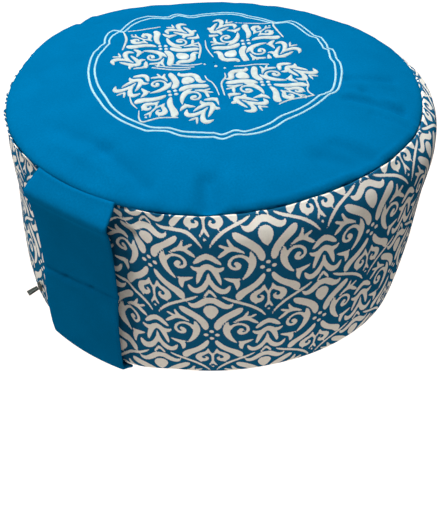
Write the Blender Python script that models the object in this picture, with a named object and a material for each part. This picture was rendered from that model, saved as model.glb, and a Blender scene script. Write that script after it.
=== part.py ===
"""A round, crowned floor cushion with a printed side band and a wide carrying strap.

Frame: +Z up, origin at the centre of the flat base, the strap faces -Y. Lengths are in metres, and in
millimetres in the tables. Azimuth is measured from the strap, towards +X. Pieces that touch keep 0.3 mm.
"""

import math

import bpy
import numpy as np

MM = 0.001

# Driving dimensions
SEAM_RADIUS = 0.157
SEAM_HEIGHT = 0.1616
CROWN_RISE = 0.0193
CROWN_POWER = 3.5  # how late the crown falls away towards its seam
BAND_FOOT_HEIGHT = 0.0131  # where the band turns under
BASE_TURN = 0.020  # how far the base curves in before it lies flat
CLOTH = 0.0015
GAP = 0.0003
SEAM_DROP = 0.0024  # the band starts this far under the top panel's edge
FOOT_SPREAD_START = 0.55  # the share of the way down where the foot begins to spread

STRAP_THICKNESS = 0.0025
STRAP_REACH = 0.0352  # half the strap's width
PRESSED_BESIDE = 0.018  # how far past the strap's edge the wall is still drawn towards its bed
PRESSED_FULLY = 0.002  # and how far it lies on it

ZIP_AZIMUTH = -22.3  # degrees
ZIP_HEIGHT = 0.033
ZIP_SLIDER_SIZE = (0.0056, 0.0022, 0.0070)  # across, out of the wall, up
ZIP_SLIDER_TAPER = 0.8  # how much of its size is left at its outer face
ZIP_PULL_LENGTH = 0.0088
ZIP_PULL_WIDTHS = (0.0030, 0.0042)  # at the root and at the tip
ZIP_PULL_THICKNESS = 0.0024
ZIP_PULL_REACH = (0.97, -0.24)  # outwards and up, from its root to its tip
ZIP_SOFT_EDGE = 0.0004

# How far the wall stands outside the seam radius, by its share of the way down
BULGE = (
    # share_down, bulge_mm
    (0.00, 0.0),
    (0.07, 9.4),
    (0.20, 8.8),
    (0.40, 7.1),
    (0.65, 6.5),
    (0.85, 3.8),
    (1.00, 0.4),
)

# How the filling is uneven round the cushion: how much the top seam rises, the wall is drawn in and its
# foot spreads
UNEVEN = (
    # azimuth, seam_rise_mm, draw_in_mm, foot_out_mm
    (-60, -1.3, 5.5, 0.0),
    (-36, -1.7, 9.3, 1.5),
    (-17, 0.3, 9.5, 2.5),
    (-3, 0.9, 9.5, 3.5),
    (13, -0.3, 9.0, 3.2),
    (27, 0.0, 3.5, -1.8),
    (47, 2.8, 0.0, -3.6),
    (72, 6.2, 0.0, -1.2),
    (87, 5.4, -1.0, 0.8),
    (108, 0.5, -2.0, 2.5),
    (137, -0.5, -4.0, 1.5),
    (167, -0.2, -2.0, 0.0),
    (197, -1.6, -1.0, 0.0),
    (225, -2.0, 0.0, 0.0),
    (253, 1.9, 0.0, 0.0),
    (277, 1.8, 1.0, 0.0),
)

# Where the draw-in is felt, by the share of the way down the wall
DRAW_IN_SHARE = (
    # share_down, share_of_draw_in
    (0.00, 0.0),
    (0.07, 0.9),
    (0.20, 1.0),
    (0.40, 0.88),
    (0.55, 0.70),
    (0.70, 0.48),
    (0.85, 0.22),
    (1.00, 0.0),
)

# The strap's outer face at its middle, from the top seam out over the shoulder, round a fold and down to its
# foot. edge_drop is how much nearer the axis its edges lie. bed is how far out the wall may reach behind
# it, and bed_drop how much less at the strap's edges: it is pressed flat there, so fingers can pass.
STRAP = (
    # height_mm, out_mm, half_width_mm, edge_drop_mm, bed_mm, bed_drop_mm
    (159.8, 156.6, 33.4, 3.7, 152.6, 3.6),
    (157.4, 159.2, 34.4, 3.5, 153.6, 3.2),
    (154.2, 162.8, 35.3, 2.8, 154.8, 2.2),
    (151.2, 165.8, 36.0, 1.9, 155.2, 1.2),
    (148.4, 167.6, 36.3, 1.2, 155.0, 0.6),
    (145.2, 168.0, 36.2, 1.0, 154.6, 0.2),
    (139.6, 166.0, 35.8, 1.1, 154.0, 0.0),
    (128.5, 164.6, 35.4, 1.3, 153.4, 0.0),
    (110.0, 163.9, 35.2, 1.5, 153.2, 0.0),
    (95.0, 163.9, 35.2, 1.6, 153.2, 0.0),
    (82.0, 164.2, 35.2, 1.7, 153.4, 0.0),
    (74.0, 165.2, 35.2, 1.8, 154.0, 0.0),
    (60.0, 167.2, 35.2, 2.1, 156.0, 0.4),
    (42.0, 168.4, 35.2, 2.6, 158.6, 2.0),
    (25.0, 168.6, 35.0, 3.0, 161.6, 3.0),
    (15.5, 168.2, 34.6, 3.3, 163.0, 3.3),
)
# From there it turns under into the base seam. This is the middle of its thickness.
STRAP_FOOT = (
    # height_mm, out_mm
    (12.4, 165.9),
    (10.6, 163.3),
    (8.9, 160.4),
    (6.2, 156.8),
)

# Mesh fineness
COLUMNS = np.radians(np.concatenate([np.arange(-30, 30, 2.5), np.arange(30, 330, 6.25)]))
CROWN_SHARES = (0.30, 0.55, 0.75, 0.88, 0.95, 0.985)
WALL_SHARES = (0.0, 0.02, 0.045, 0.07, 0.12, 0.20, 0.30, 0.42, 0.54, 0.66, 0.76, 0.86, 0.94, 1.0)
BASE_SHARES = (0.22, 0.45, 0.7, 1.0)  # the first is the base seam
STRAP_POINTS_ACROSS = 9
SLOPE_STEP = 1e-4
PANEL_OVERHANG = 0.0002  # how far the top panel's edge stands out over the seam
LEDGE_DEPTH = 0.0042  # how far the body is set back inside the top panel's edge
LEDGE_BESIDE_STRAP = 0.0006  # and at least, where the strap is sewn in
LEDGE_DROP = 0.0012
BODY_CLEARANCE = CLOTH + 1.5 * GAP  # from each panel's outer face to the filled body inside it
LEAST_RISE = 0.6  # of that clearance, kept upwards where the base turns under

TURQUOISE = (0.0, 0.18, 0.42, 1.0)
PRINTED_BAND = (0.35, 0.42, 0.45, 1.0)
DARK_METAL = (0.05, 0.07, 0.06, 1.0)


def smooth_curve(rows, column, x, period=None):
    """A smooth curve without overshoot through one column of a table, read at x."""
    table = np.array(rows, float)
    xs, ys = table[:, 0], table[:, column]
    if period:
        xs = np.concatenate([xs[-2:] - period, xs, xs[:2] + period])
        ys = np.concatenate([ys[-2:], ys, ys[:2]])
        x = xs[2] + (np.asarray(x, float) - xs[2]) % period
    if xs[0] > xs[-1]:
        xs, ys = xs[::-1], ys[::-1]
    x = np.clip(x, xs[0], xs[-1])
    step, slope = np.diff(xs), np.diff(ys) / np.diff(xs)
    left, right = slope[:-1], slope[1:]
    product = left * right
    before, after = step[1:] + 2 * step[:-1], 2 * step[1:] + step[:-1]
    mean = (after * right + before * left) / (before + after)
    inner = np.where(product > 0, product / np.where(product > 0, mean, 1.0), 0.0)
    tangent = np.concatenate([[slope[0]], inner, [slope[-1]]])
    i = np.clip(np.searchsorted(xs, x) - 1, 0, len(xs) - 2)
    t = (x - xs[i]) / step[i]
    return (
        (1 + 2 * t) * (1 - t) ** 2 * ys[i]
        + t * (1 - t) ** 2 * step[i] * tangent[i]
        + t * t * (3 - 2 * t) * ys[i + 1]
        + t * t * (t - 1) * step[i] * tangent[i + 1]
    )


def ease(x):
    """0 below 0, 1 above 1 and a smooth step between."""
    x = np.clip(x, 0.0, 1.0)
    return x * x * (3 - 2 * x)


def seam_height(azimuth):
    return SEAM_HEIGHT + MM * smooth_curve(UNEVEN, 1, np.degrees(azimuth), 360)


def crown_height(azimuth, radius):
    share = radius / SEAM_RADIUS
    uneven = (seam_height(azimuth) - SEAM_HEIGHT) * share**3
    return SEAM_HEIGHT + uneven + CROWN_RISE * (1 - share**CROWN_POWER)


def strap_bed(across, height):
    """How far out the wall may reach behind the strap."""
    bed, drop = (smooth_curve(STRAP, column, height / MM) * MM for column in (4, 5))
    return bed - drop * (across / STRAP_REACH) ** 2


def wall_point(azimuth, share):
    """Radius and height of the wall at an azimuth and a share of the way from its top to its foot."""
    height = (seam_height(azimuth) - SEAM_DROP) * (1 - share) + BAND_FOOT_HEIGHT * share
    draw_in = smooth_curve(UNEVEN, 2, np.degrees(azimuth), 360) * smooth_curve(DRAW_IN_SHARE, 1, share)
    spread = ease((share - FOOT_SPREAD_START) / (1 - FOOT_SPREAD_START))
    foot_out = smooth_curve(UNEVEN, 3, np.degrees(azimuth), 360) * spread
    radius = SEAM_RADIUS + MM * (smooth_curve(BULGE, 1, share) - draw_in + foot_out)
    across = radius * math.sin(azimuth)
    beside = abs(across) - STRAP_REACH
    if math.cos(azimuth) > 0 and beside < PRESSED_BESIDE:
        bed = strap_bed(across, height) / math.cos(azimuth)
        pressed = ease((PRESSED_BESIDE - beside) / (PRESSED_BESIDE - PRESSED_FULLY))
        radius += (min(radius, bed) - radius) * pressed
    return radius, height


def base_point(azimuth, share):
    """The turn under, from the band's foot at share 0 to the flat base at share 1."""
    radius, height = wall_point(azimuth, 1.0)
    return radius - BASE_TURN * share, height * (1 - share) ** 2


def placed(azimuth, radius, height):
    return (radius * math.sin(azimuth), -radius * math.cos(azimuth), height)


def material(name, colour, roughness, metallic=0.0):
    made = bpy.data.materials.new(name)
    made.use_nodes = True
    shader = made.node_tree.nodes["Principled BSDF"]
    shader.inputs["Base Color"].default_value = colour
    shader.inputs["Roughness"].default_value = roughness
    shader.inputs["Metallic"].default_value = metallic
    return made


def add_object(name, vertices, faces, finish):
    mesh = bpy.data.meshes.new(name)
    mesh.from_pydata([tuple(map(float, v)) for v in vertices], [], faces)
    mesh.validate()
    mesh.materials.append(finish)
    mesh.shade_smooth()
    mesh.set_sharp_from_angle(angle=math.radians(40))
    made = bpy.data.objects.new(name, mesh)
    bpy.context.scene.collection.objects.link(made)
    return made


def turned_solid(name, rings, top_height, bottom_height, finish):
    """A closed solid from rings of one point a column, with a pole above the first and below the last."""
    count = len(rings[0])
    vertices = [(0, 0, top_height)] + [p for ring in rings for p in ring] + [(0, 0, bottom_height)]
    last = len(vertices) - 1
    faces = []
    for i in range(count):
        j = (i + 1) % count
        faces.append((0, 1 + i, 1 + j))
        faces.append((last, last - count + j, last - count + i))
        for k in range(len(rings) - 1):
            a, b = 1 + k * count, 1 + (k + 1) * count
            faces.append((a + i, b + i, b + j, a + j))
    return add_object(name, vertices, faces, finish)


def ring(point, *args):
    return [placed(a, *point(a, *args)) for a in COLUMNS]


def under_crown(azimuth, share, depth):
    """A point of the crown, and the same point moved in by a depth along the surface's normal."""
    radius = SEAM_RADIUS * share
    slope = (crown_height(azimuth, radius + SLOPE_STEP) - crown_height(azimuth, radius)) / SLOPE_STEP
    length = math.hypot(1, slope)
    return radius + depth * slope / length, crown_height(azimuth, radius) - depth / length


def make_top_panel(finish):
    outer = [ring(under_crown, s, 0.0) for s in CROWN_SHARES]
    outer.append(ring(lambda a: (SEAM_RADIUS + PANEL_OVERHANG, float(crown_height(a, SEAM_RADIUS)))))
    inner = [ring(under_crown, s, CLOTH) for s in (1.0,) + CROWN_SHARES[::-1]]
    top = SEAM_HEIGHT + CROWN_RISE
    return turned_solid("top_panel", outer + inner, top, top - CLOTH, finish)


def make_cushion_body(finish):
    """The filled cover: it keeps clear of both panels and shows only its side wall."""
    rings = [ring(under_crown, s, BODY_CLEARANCE) for s in CROWN_SHARES[:-1]]
    rings.append(ring(under_seam))
    rings += [ring(wall_point, s) for s in WALL_SHARES]
    rings += [ring(above_base, s, BODY_CLEARANCE) for s in BASE_SHARES]
    top = SEAM_HEIGHT + CROWN_RISE - BODY_CLEARANCE
    return turned_solid("cushion_body", rings, top, BODY_CLEARANCE, finish)


def under_seam(azimuth):
    """The ledge inside the top panel's edge, set back where the strap is sewn in."""
    radius, _ = wall_point(azimuth, 0.0)
    return min(SEAM_RADIUS - LEDGE_DEPTH, radius - LEDGE_BESIDE_STRAP), seam_height(azimuth) - LEDGE_DROP


def above_base(azimuth, share, depth):
    """A point of the turn under, moved up and in by a depth."""
    radius, height = base_point(azimuth, share)
    return radius - depth * (1 - share), height + depth * max(share, LEAST_RISE)


def make_base_panel(finish):
    inner = [ring(above_base, s, CLOTH) for s in BASE_SHARES[::-1]]
    outer = [ring(base_point, s) for s in BASE_SHARES]
    return turned_solid("base_panel", inner + outer, CLOTH, 0.0, finish)


def strap_path():
    """Rows of (height, out, half width, edge drop) at the middle of the strap's thickness."""
    face = np.array(STRAP, float)[:, :4] * MM
    foot = [(h * MM, o * MM, face[-1, 2], face[-1, 3]) for h, o in STRAP_FOOT]
    direction = np.gradient(face[:, :2], axis=0)
    direction /= np.linalg.norm(direction, axis=1)[:, None]
    face[:, 1] += direction[:, 0] * STRAP_THICKNESS / 2
    face[:, 0] -= direction[:, 1] * STRAP_THICKNESS / 2
    return np.vstack([face, foot])


def make_handle_strap(finish):
    path = strap_path()
    direction = np.gradient(path[:, :2], axis=0)
    direction /= np.linalg.norm(direction, axis=1)[:, None]
    across = np.linspace(-1, 1, STRAP_POINTS_ACROSS)
    vertices = []
    for (height, out, half, drop), (rise, run) in zip(path, direction):
        for side in (1, -1):
            for share in across[::side]:
                x = half * share
                y = -(out - drop * (x / STRAP_REACH) ** 2 - side * rise * STRAP_THICKNESS / 2)
                vertices.append((x, y, height + side * run * STRAP_THICKNESS / 2))
    count = 2 * STRAP_POINTS_ACROSS
    rows = len(path)
    faces = []
    for k in range(rows - 1):
        for i in range(count):
            a, b = k * count + i, k * count + (i + 1) % count
            faces.append((a, b, b + count, a + count))
    for i in range(STRAP_POINTS_ACROSS - 1):
        a, b = i, count - 1 - i
        faces.append((a, b, b - 1, a + 1))
        c, d = (rows - 1) * count + a, (rows - 1) * count + b
        faces.append((c, c + 1, d - 1, d))
    return add_object("handle_strap", vertices, [f[::-1] for f in faces], finish)


def make_zip(finish):
    """A slider that sits on the wall beside the strap, and the pull that hangs out from it."""
    azimuth = math.radians(ZIP_AZIMUTH)
    share = (SEAM_HEIGHT - SEAM_DROP - ZIP_HEIGHT) / (SEAM_HEIGHT - SEAM_DROP - BAND_FOOT_HEIGHT)
    wall, height = wall_point(azimuth, share)
    across = np.array([math.cos(azimuth), math.sin(azimuth), 0.0])
    out = np.array([math.sin(azimuth), -math.cos(azimuth), 0.0])
    up = np.array([0.0, 0.0, 1.0])
    width, depth, tall = ZIP_SLIDER_SIZE

    def block(name, centre, axes, half_start, half_end, length):
        """A tapered block along axes[0], with its half sizes at either end along the other two."""
        corners = [(-1, -1), (1, -1), (1, 1), (-1, 1)]
        vertices = [centre + axes[1] * half_start[0] * a + axes[2] * half_start[1] * b for a, b in corners]
        vertices += [
            centre + axes[0] * length + axes[1] * half_end[0] * a + axes[2] * half_end[1] * b
            for a, b in corners
        ]
        sides = [(i, (i + 1) % 4, 4 + (i + 1) % 4, 4 + i) for i in range(4)]
        made = add_object(name, vertices, [(3, 2, 1, 0), (4, 5, 6, 7)] + sides, finish)
        bevel = made.modifiers.new("soft_edges", "BEVEL")
        bevel.width, bevel.segments = ZIP_SOFT_EDGE, 2

    foot = out * (wall + 2 * GAP) + up * height
    inner = (width / 2, tall / 2)
    outer = (inner[0] * ZIP_SLIDER_TAPER, inner[1] * ZIP_SLIDER_TAPER)
    block("zip_slider", foot, (out, across, up), inner, outer, depth)
    along = out * ZIP_PULL_REACH[0] + up * ZIP_PULL_REACH[1]
    along /= np.linalg.norm(along)
    thick = ZIP_PULL_THICKNESS / 2
    root = foot + out * (depth + GAP - thick * ZIP_PULL_REACH[1])
    start, end = (w / 2 for w in ZIP_PULL_WIDTHS)
    axes = (along, across, np.cross(along, across))
    block("zip_pull", root, axes, (start, thick), (end, thick), ZIP_PULL_LENGTH)


def main():
    for old in list(bpy.data.objects):
        bpy.data.objects.remove(old)
    plain = material("turquoise_cotton", TURQUOISE, 0.85)
    printed = material("printed_cotton", PRINTED_BAND, 0.85)
    metal = material("dark_zip_metal", DARK_METAL, 0.4, 0.9)
    make_top_panel(plain)
    make_cushion_body(printed)
    make_base_panel(plain)
    make_handle_strap(plain)
    make_zip(metal)


main()
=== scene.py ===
"""The looks of a round, crowned floor cushion: a plain cotton top with an embroidered medallion, a side band
printed with an ogee damask, a wide plain carrying strap and a small zip.

Frame: +Z up, origin at the centre of the flat base, the strap faces -Y. Azimuth is measured from the strap,
towards +X. Lengths are in metres, and in millimetres in the tables.
"""

import math

import bpy
import numpy as np
from mathutils import Matrix, Vector

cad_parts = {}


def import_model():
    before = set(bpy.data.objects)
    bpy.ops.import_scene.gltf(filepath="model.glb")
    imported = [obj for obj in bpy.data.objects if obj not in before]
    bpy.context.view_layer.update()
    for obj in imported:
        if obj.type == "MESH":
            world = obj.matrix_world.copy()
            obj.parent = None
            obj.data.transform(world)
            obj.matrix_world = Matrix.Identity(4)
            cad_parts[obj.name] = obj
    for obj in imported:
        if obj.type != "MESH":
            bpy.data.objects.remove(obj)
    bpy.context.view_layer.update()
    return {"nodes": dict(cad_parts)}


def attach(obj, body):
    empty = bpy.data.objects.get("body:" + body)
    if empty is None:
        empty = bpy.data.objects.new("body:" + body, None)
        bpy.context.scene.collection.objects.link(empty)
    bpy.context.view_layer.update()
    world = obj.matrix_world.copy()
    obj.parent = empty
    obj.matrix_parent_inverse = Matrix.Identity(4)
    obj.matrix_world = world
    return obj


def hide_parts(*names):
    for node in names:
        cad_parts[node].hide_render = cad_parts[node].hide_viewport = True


MM = 0.001
NOISE_CELLS = 64  # across a square of the noise, which repeats after that
VIEW_TURN = math.radians(35.7)  # the camera's azimuth seen from the strap, towards +X

# The form: that of the solids, with a bulge and an unevenness that lie closer to the photo
SEAM_RADIUS = 0.157
SEAM_HEIGHT = 0.1616
CROWN_RISE = 0.0193
CROWN_POWER = 3.5  # how late the crown falls away towards its seam
UNEVEN_POWER = 3  # how late the seam's unevenness sets in towards it
BAND_FOOT_HEIGHT = 0.0131  # where the band turns under
BASE_TURN = 0.020  # how far the base curves in before it lies flat
SEAM_DROP = 0.0024  # the band starts this far under the top panel's edge
FOOT_SPREAD_START = 0.55  # the share of the way down where the foot begins to spread
STRAP_THICKNESS = 0.0025
STRAP_REACH = 0.0352  # half the strap's width
PRESSED_BESIDE = 0.018  # how far past the strap's edge the wall is still drawn towards its bed
PRESSED_FULLY = 0.002  # and how far it lies on it
LEAST_FRONT = 0.2  # of the cosine of the azimuth: keeps the bed's radius finite away from the strap

BULGE = (
    # share_down, bulge_mm
    (0.00, 0.0),
    (0.03, 2.8),
    (0.07, 6.4),
    (0.12, 8.8),
    (0.19, 9.5),
    (0.27, 8.8),
    (0.40, 7.2),
    (0.65, 6.5),
    (0.85, 3.8),
    (1.00, 0.4),
)
UNEVEN = (
    # azimuth, seam_rise_mm, draw_in_mm, foot_out_mm
    (-60, -1.3, 5.5, 0.0),
    (-36, -1.7, 9.3, 1.5),
    (-17, 0.3, 9.5, 2.5),
    (-3, 0.9, 9.5, 3.5),
    (13, -0.3, 9.0, 3.2),
    (27, 0.0, 3.5, -1.8),
    (47, 2.8, 0.0, -2.4),
    (72, 6.2, 0.0, 0.2),
    (87, 5.4, -1.0, 1.6),
    (108, 0.5, -2.0, 0.4),
    (137, 1.5, -5.0, 0.4),
    (167, -1.2, -2.0, 0.0),
    (197, -3.4, -1.0, 0.0),
    (225, -3.8, 0.0, 0.0),
    (253, 1.2, 0.0, 0.0),
    (277, 2.4, 1.0, 0.0),
)
DRAW_IN_SHARE = (
    # share_down, share_of_draw_in
    (0.00, 0.0),
    (0.07, 0.9),
    (0.20, 1.0),
    (0.40, 0.88),
    (0.55, 0.70),
    (0.70, 0.48),
    (0.85, 0.22),
    (1.00, 0.0),
)
STRAP = (
    # height_mm, out_mm, half_width_mm, edge_drop_mm, bed_mm, bed_drop_mm
    (159.8, 156.6, 33.4, 3.7, 152.6, 3.6),
    (157.4, 159.2, 34.4, 3.5, 153.6, 3.2),
    (154.2, 162.8, 35.3, 2.8, 154.8, 2.2),
    (151.2, 165.8, 36.0, 1.9, 155.2, 1.2),
    (148.4, 167.6, 36.3, 1.2, 155.0, 0.6),
    (145.2, 168.0, 36.2, 1.0, 154.6, 0.2),
    (139.6, 166.0, 35.8, 1.1, 154.0, 0.0),
    (128.5, 164.6, 35.4, 1.3, 153.4, 0.0),
    (110.0, 163.9, 35.2, 1.5, 153.2, 0.0),
    (95.0, 163.9, 35.2, 1.6, 153.2, 0.0),
    (82.0, 164.2, 35.2, 1.7, 153.4, 0.0),
    (74.0, 165.2, 35.2, 1.8, 154.0, 0.0),
    (60.0, 167.2, 35.2, 2.1, 156.0, 0.4),
    (42.0, 168.4, 35.2, 2.6, 158.6, 2.0),
    (25.0, 168.6, 35.0, 3.0, 161.6, 3.0),
    (15.5, 168.2, 34.6, 3.3, 163.0, 3.3),
)
STRAP_FOOT = (
    # height_mm, out_mm
    (12.4, 165.9),
    (10.6, 163.3),
    (8.9, 160.4),
    (6.2, 156.8),
)

# The print: an ogee damask, half dropped. One quarter of its repeat is charted here as strokes, each a row of
# places and widths. x runs across from the axis of the four dots to the axis of the tall leaf, y runs up.
REPEATS = 13
REPEAT_ACROSS = 79.7
REPEAT_UP = 126.2
CELL = {
    # x_mm, y_mm, width_mm
    "dot_on_axis": ((0, 3.9, 3.3),),
    "dot_under_it": ((0, -3.9, 3.3),),
    "dot_beside": ((4.0, 0, 3.4),),
    "upper_bar": (
        (4.0, 6.2, 1.8), (4.2, 8.6, 4.6), (4.9, 11.6, 5.3), (7.0, 15.2, 5.4), (10.2, 18.3, 5.4),
        (14.0, 21.0, 5.5), (17.6, 23.3, 5.4), (19.8, 24.9, 4.2), (21.4, 26.2, 1.4),
    ),
    "lower_bar": (
        (3.1, -6.4, 1.0), (3.7, -8.6, 3.1), (5.4, -12.0, 4.3), (8.6, -15.8, 4.7),
        (12.6, -19.0, 5.1), (16.8, -21.8, 5.7), (19.4, -24.4, 6.0), (20.2, -26.4, 4.6),
    ),
    "bud": ((0, 24.6, 10.2), (0, 21.4, 7.2), (0, 19.0, 3.4), (0, 17.2, 1.2)),
    "palmette": (
        (0, 34.7, 5.0), (3.4, 33.8, 5.0), (6.4, 31.4, 4.9), (9.4, 29.2, 4.7), (12.2, 28.7, 3.8),
        (14.2, 29.9, 2.2), (15.1, 31.4, 0.8),
    ),
    "hook": (
        (3.1, -16.8, 0.8), (3.3, -19.2, 2.3), (4.9, -21.8, 3.1), (8.2, -23.8, 3.7),
        (10.5, -26.6, 4.5), (9.9, -29.8, 4.6), (7.0, -31.2, 3.8), (4.4, -29.9, 2.5),
        (4.2, -27.6, 1.6), (5.5, -26.7, 1.1),
    ),
    "hook_spur": ((8.9, -30.8, 3.4), (9.2, -34.2, 0.8)),
    "stem": ((2.6, -20.6, 2.1), (1.2, -23.4, 1.7), (0, -26.6, 1.7), (0, -31.6, 1.7), (0, -34.4, 2.4)),
    "stem_foot": ((0.6, -34.2, 1.9), (1.6, -36.4, 1.8), (2.8, -38.3, 1.2)),
    "stem_dot": ((0, -40.3, 2.1),),
    "crescent": (
        (11.6, 14.0, 0.8), (10.8, 11.0, 2.8), (10.4, 6.6, 4.8), (10.9, 2.0, 4.7),
        (12.6, -2.8, 3.8), (15.2, -7.0, 2.6), (17.8, -10.0, 0.9),
    ),
    "curl": (
        (12.0, 6.2, 3.2), (14.9, 9.7, 2.5), (18.6, 11.2, 2.1), (22.4, 10.3, 2.0), (25.1, 7.4, 2.1),
        (25.5, 3.8, 2.2), (23.4, 1.1, 2.3), (20.4, 0.9, 2.5), (19.2, 3.2, 2.8), (20.8, 4.9, 3.6),
    ),
    "twig": (
        (15.3, 13.4, 1.0), (18.2, 14.9, 2.1), (21.8, 16.4, 3.2), (25.6, 15.6, 2.6),
        (29.4, 12.9, 2.8), (31.8, 10.9, 1.8),
    ),
    "twig_finger": ((22.2, 16.6, 3.0), (24.0, 19.4, 2.4), (25.3, 22.4, 1.5)),
    "twig_side_finger": ((24.8, 16.2, 2.4), (27.8, 17.6, 2.1), (30.6, 18.9, 1.8)),
    "bracket": (
        (29.7, -7.4, 0.9), (27.6, -8.4, 2.2), (25.0, -9.5, 3.3), (22.2, -10.6, 4.2),
        (21.2, -13.4, 3.7), (21.2, -16.2, 2.5), (21.6, -18.6, 0.9),
    ),
    "bracket_horn": ((21.8, -10.2, 3.2), (19.3, -8.6, 1.1)),
}
LATTICE = {
    # x_mm, y_mm, width_mm
    "lattice_line": (
        (8.2, 38.2, 0.9), (10.6, 36.6, 1.9), (14.2, 34.5, 2.3), (20.4, 31.6, 2.3),
        (26.6, 28.3, 2.3), (32.0, 24.2, 2.2), (35.2, 20.8, 1.7), (37.6, 17.2, 0.9),
    ),
}
COLUMN = {
    # x_mm from the column's own axis, y_mm, width_mm
    "cap": ((0, 11.2, 4.3), (3.2, 9.9, 4.0), (5.8, 7.6, 3.4), (7.8, 5.9, 2.3), (8.6, 5.0, 1.2)),
    "arch": (
        (0, 2.9, 4.6), (2.6, 1.5, 4.4), (4.6, -1.9, 4.0), (6.1, -6.3, 3.3), (7.2, -10.3, 2.4),
        (7.8, -13.4, 0.9),
    ),
    "ear": ((4.0, 0.4, 3.8), (7.4, 0.0, 3.6), (9.6, 1.1, 2.2), (11.0, 2.6, 0.8)),
    "leaf": (
        (0, -2.5, 0.8), (0, -5.2, 1.9), (0, -8.0, 2.7), (1.0, -10.8, 3.1), (2.5, -14.2, 3.5),
        (4.7, -17.5, 4.2), (7.6, -19.8, 4.7), (10.5, -19.8, 4.2), (12.6, -17.6, 2.9),
        (13.9, -14.8, 1.2),
    ),
    "leaf_foot": ((0, -19.2, 1.6), (1.4, -21.4, 2.0), (2.8, -23.6, 1.9), (4.1, -25.6, 1.0)),
}
PRINT_LEAN = (
    # mm of cloth down from the seam, mm that the print has slipped sideways there
    (-10, -7.6),
    (0, -7.2),
    (10, -6.3),
    (20, -5.2),
    (30, -4.1),
    (43, -3.0),
    (64, -1.5),
    (85, -0.5),
    (107, 0.0),
    (140, 0.8),
    (180, 1.2),
)
PRINT_LEAN_SHARE = (
    # azimuth, share of the lean
    (0, 0.8),
    (21, 0.7),
    (35, 0.7),
    (49, 1.0),
    (63, 1.35),
    (95, 1.1),
    (180, 0.8),
    (270, 0.8),
)
PRINT_RISE = (
    # mm of cloth down from the seam, mm that the print sits higher there, and beside the strap
    (-10, 4.5, -5.0),
    (0, 4.0, -5.4),
    (15, 2.8, -5.6),
    (30, 1.2, -1.6),
    (45, 0.3, 0.0),
    (60, 0.0, 0.0),
    (180, 0.0, 0.0),
)
BESIDE_STRAP = (
    # azimuth, share of the lower place that the print takes there
    (-90, 0.0),
    (0, 1.0),
    (23, 1.0),
    (26, 0.6),
    (31, 0.0),
    (180, 0.0),
)


def smooth_curve(rows, column, x, period=None):
    """A smooth curve without overshoot through one column of a table, read at x."""
    table = np.array(rows, float)
    xs, ys = table[:, 0], table[:, column]
    if period:
        xs = np.concatenate([xs[-2:] - period, xs, xs[:2] + period])
        ys = np.concatenate([ys[-2:], ys, ys[:2]])
        x = xs[2] + (np.asarray(x, float) - xs[2]) % period
    if xs[0] > xs[-1]:
        xs, ys = xs[::-1], ys[::-1]
    x = np.clip(x, xs[0], xs[-1])
    step, slope = np.diff(xs), np.diff(ys) / np.diff(xs)
    left, right = slope[:-1], slope[1:]
    product = left * right
    before, after = step[1:] + 2 * step[:-1], 2 * step[1:] + step[:-1]
    mean = (after * right + before * left) / (before + after)
    inner = np.where(product > 0, product / np.where(product > 0, mean, 1.0), 0.0)
    tangent = np.concatenate([[slope[0]], inner, [slope[-1]]])
    i = np.clip(np.searchsorted(xs, x) - 1, 0, len(xs) - 2)
    t = (x - xs[i]) / step[i]
    return (
        (1 + 2 * t) * (1 - t) ** 2 * ys[i]
        + t * (1 - t) ** 2 * step[i] * tangent[i]
        + t * t * (3 - 2 * t) * ys[i + 1]
        + t * t * (t - 1) * step[i] * tangent[i + 1]
    )


def ease(x):
    """0 below 0, 1 above 1 and a smooth step between."""
    x = np.clip(x, 0.0, 1.0)
    return x * x * (3 - 2 * x)


def whole_turn(count):
    """Azimuths evenly round the cushion, from its back."""
    return np.linspace(-math.pi, math.pi, count, endpoint=False)


def way_along(across, up):
    """How far along a line of points each of them lies."""
    return np.concatenate([[0], np.cumsum(np.hypot(np.diff(across), np.diff(up)))])


def headings(line):
    """The direction of a line of points at each of them, with a length of 1."""
    run = np.gradient(line, axis=0)
    return run / np.linalg.norm(run, axis=1)[:, None]


def soft_noise(x, y, seed):
    """Smooth noise from -1 to 1 with a cell of 1, the same on every run."""
    grid = np.random.default_rng(seed).uniform(-1, 1, (NOISE_CELLS, NOISE_CELLS))
    i, j = np.floor(x).astype(int), np.floor(y).astype(int)
    u, v = ease(x - i), ease(y - j)
    i, next_i = i % NOISE_CELLS, (i + 1) % NOISE_CELLS
    j, next_j = j % NOISE_CELLS, (j + 1) % NOISE_CELLS
    near = grid[i, j] * (1 - u) + grid[next_i, j] * u
    far = grid[i, next_j] * (1 - u) + grid[next_i, next_j] * u
    return near * (1 - v) + far * v


def waves(x, y, layers):
    """Unevenness in mm: layers of smooth noise, each with its own cell, start, seed and height."""
    relief = 0.0
    for cell_x, cell_y, start_x, start_y, seed, height in layers:
        relief = relief + height * soft_noise(x / cell_x + start_x, y / cell_y + start_y, seed)
    return relief


def crease_relief(x, y, creases):
    """The sum of soft troughs and ridges, each along its own line, in mm."""
    relief = np.zeros(np.shape(x))
    for start_x, start_y, end_x, end_y, half_width, height in creases:
        run_x, run_y = end_x - start_x, end_y - start_y
        share = ((x - start_x) * run_x + (y - start_y) * run_y) / (run_x**2 + run_y**2)
        share = np.clip(share, 0, 1)
        off_x, off_y = x - start_x - share * run_x, y - start_y - share * run_y
        relief += height * np.exp(-(off_x**2 + off_y**2) / half_width**2)
    return relief


def from_view(across, away):
    """mm in the view's axes to metres in the part's frame, x and y."""
    x = across * math.cos(VIEW_TURN) - away * math.sin(VIEW_TURN)
    y = across * math.sin(VIEW_TURN) + away * math.cos(VIEW_TURN)
    return x * MM, y * MM


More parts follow.
